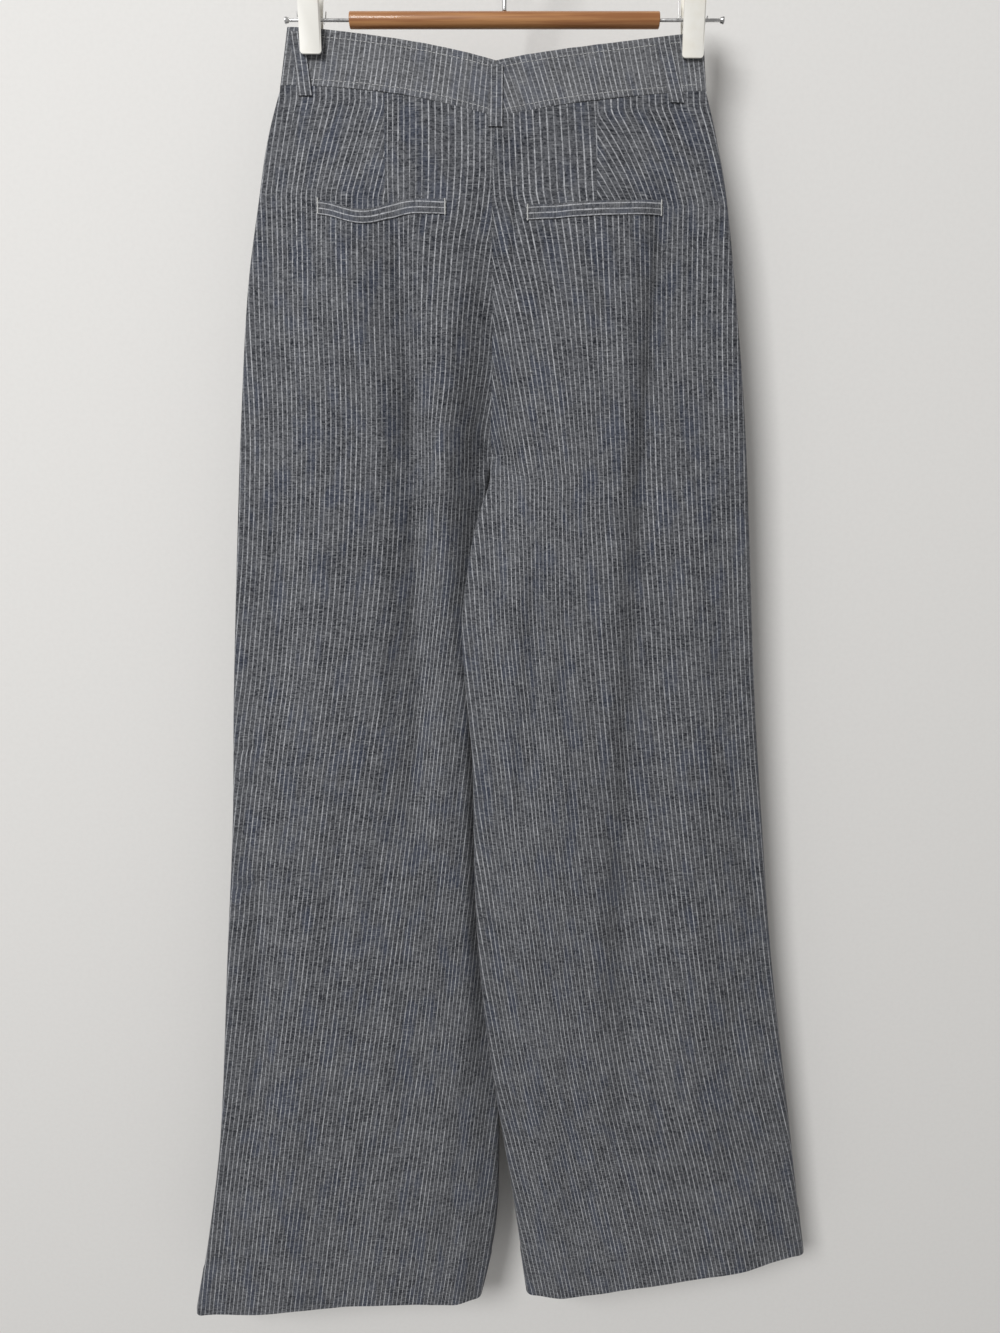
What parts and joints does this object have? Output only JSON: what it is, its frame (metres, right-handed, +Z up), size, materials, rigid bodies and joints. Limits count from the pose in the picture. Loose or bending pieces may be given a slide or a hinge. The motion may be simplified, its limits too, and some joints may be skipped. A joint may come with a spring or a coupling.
{
  "type": "palazzo pants on a clip hanger",
  "caption": "wide-legged striped linen trousers with a waistband, belt loops and back welt pockets, hung flat by the waist from a wooden bar hanger with two clips",
  "frame": {"origin": "inside top of the hanger's hook, where a rail carries it", "axes": "+Z up; +X to the right seen from behind the trousers; +Y from the trousers' back to their front"},
  "size_m": [0.6002, 0.0704, 1.2465],
  "materials": {
    "striped_linen": "matte plain-weave linen, blue-grey with fine white pinstripes 4.1 mm apart",
    "button": "satin dark button",
    "wood": "satin varnished light-brown dowel",
    "steel": "bright plated steel wire",
    "clip_plastic": "smooth off-white plastic"
  },
  "bodies": {
    "root": {"panel_back_left_seat": "striped_linen", "panel_back_left_rise": "striped_linen", "panel_back_left_thigh": "striped_linen", "panel_back_left_knee": "striped_linen", "panel_back_left_calf": "striped_linen", "panel_back_left_hem": "striped_linen", "panel_back_right_seat": "striped_linen", "panel_back_right_rise": "striped_linen", "panel_back_right_thigh": "striped_linen", "panel_back_right_knee": "striped_linen", "panel_back_right_calf": "striped_linen", "panel_back_right_hem": "striped_linen", "panel_front_left_seat": "striped_linen", "panel_front_left_rise": "striped_linen", "panel_front_left_thigh": "striped_linen", "panel_front_left_knee": "striped_linen", "panel_front_left_calf": "striped_linen", "panel_front_left_hem": "striped_linen", "panel_front_right_seat": "striped_linen", "panel_front_right_rise": "striped_linen", "panel_front_right_thigh": "striped_linen", "panel_front_right_knee": "striped_linen", "panel_front_right_calf": "striped_linen", "panel_front_right_hem": "striped_linen", "waistband_left": "striped_linen", "waistband_right": "striped_linen", "pocket_welt_left": "striped_linen", "pocket_welt_right": "striped_linen", "fly_lap": "striped_linen", "waistband_button": "button", "belt_loop_centre_back": "striped_linen", "belt_loop_back_left": "striped_linen", "belt_loop_back_right": "striped_linen", "belt_loop_front_left": "striped_linen", "belt_loop_front_right": "striped_linen", "hanger_bar": "wood", "hanger_rod_left": "steel", "hanger_rod_right": "steel", "hanger_cap_left": "steel", "hanger_cap_right": "steel", "hanger_hook": "steel", "clip_left_back": "clip_plastic", "clip_left_front": "clip_plastic", "clip_spring_left": "steel", "clip_right_back": "clip_plastic", "clip_right_front": "clip_plastic", "clip_spring_right": "steel"}
  },
  "joints": []
}
